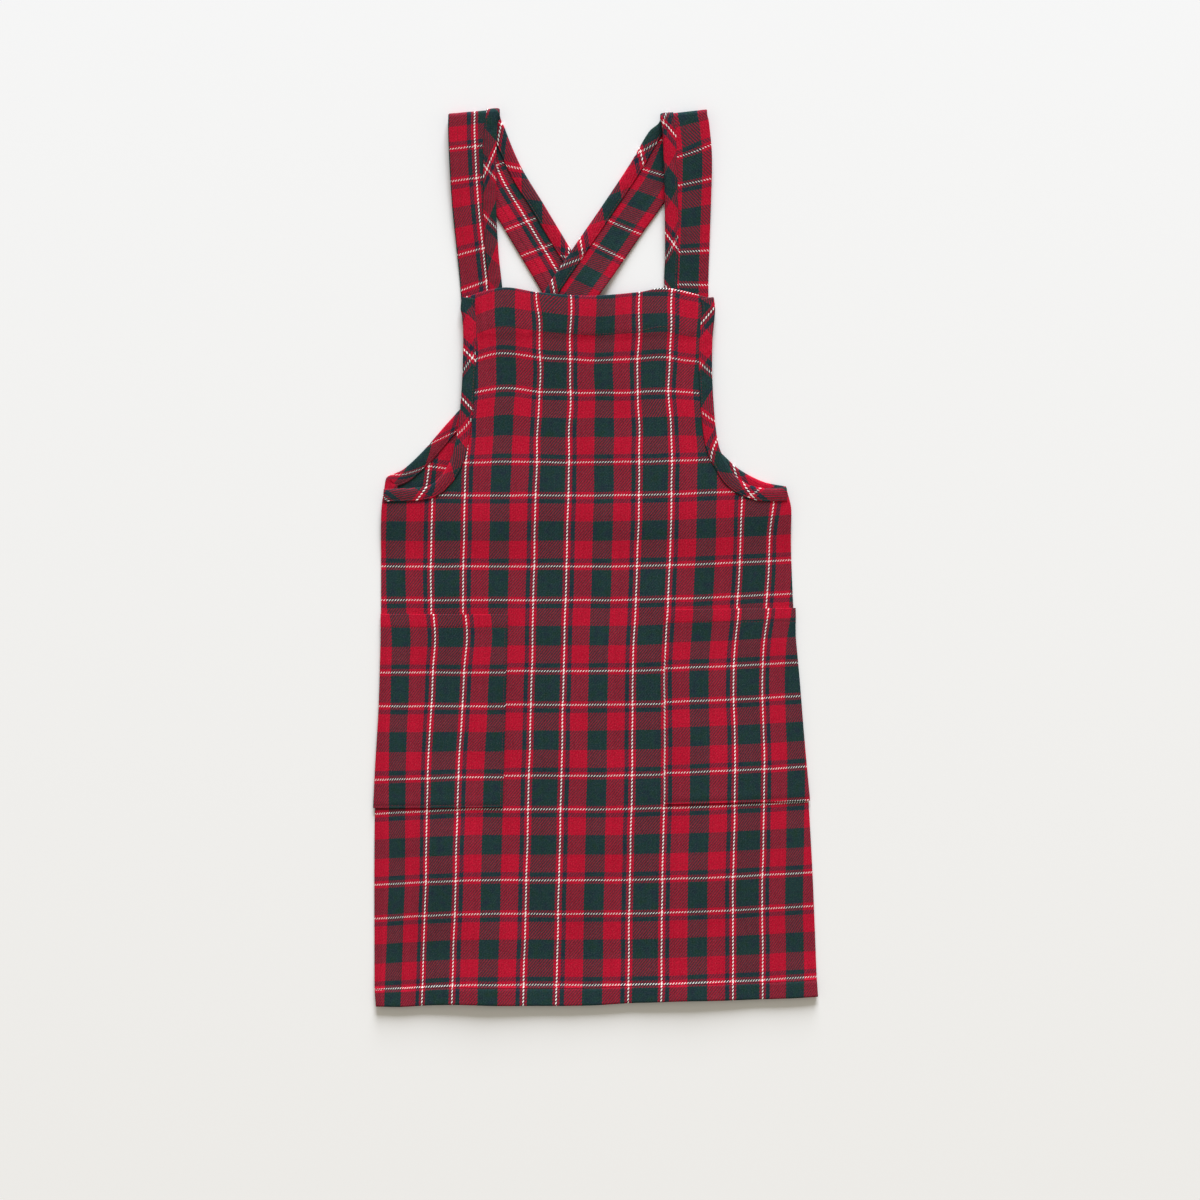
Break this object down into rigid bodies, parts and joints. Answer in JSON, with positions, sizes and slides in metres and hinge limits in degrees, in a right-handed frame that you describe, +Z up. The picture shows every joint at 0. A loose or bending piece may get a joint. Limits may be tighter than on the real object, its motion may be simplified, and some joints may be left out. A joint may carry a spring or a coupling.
{
  "type": "kitchen apron",
  "caption": "Cross-back kitchen apron in checked cotton with a bib, patch pockets and bound armholes, lying flat with its front up.",
  "frame": {"origin": "on the table, under the middle of the lying apron's outline", "axes": "+X to the right of the apron as it lies front up, +Y from the hem towards the shoulder folds, +Z up from the table"},
  "size_m": [0.4447, 0.8972, 0.0114],
  "materials": {
    "checked_cotton": "brushed cotton twill in a red, dark green and white check, matt",
    "bias_binding": "the same checked twill cut on the bias and folded over the edge, matt"
  },
  "bodies": {
    "root": {"front_panel": "checked_cotton", "back_panel_left": "checked_cotton", "back_panel_right": "checked_cotton", "pocket_left": "checked_cotton", "pocket_right": "checked_cotton", "strap_left": "checked_cotton", "strap_right": "checked_cotton", "armhole_binding_left": "bias_binding", "armhole_binding_right": "bias_binding", "neck_binding_left": "bias_binding", "neck_binding_right": "bias_binding"}
  },
  "joints": []
}
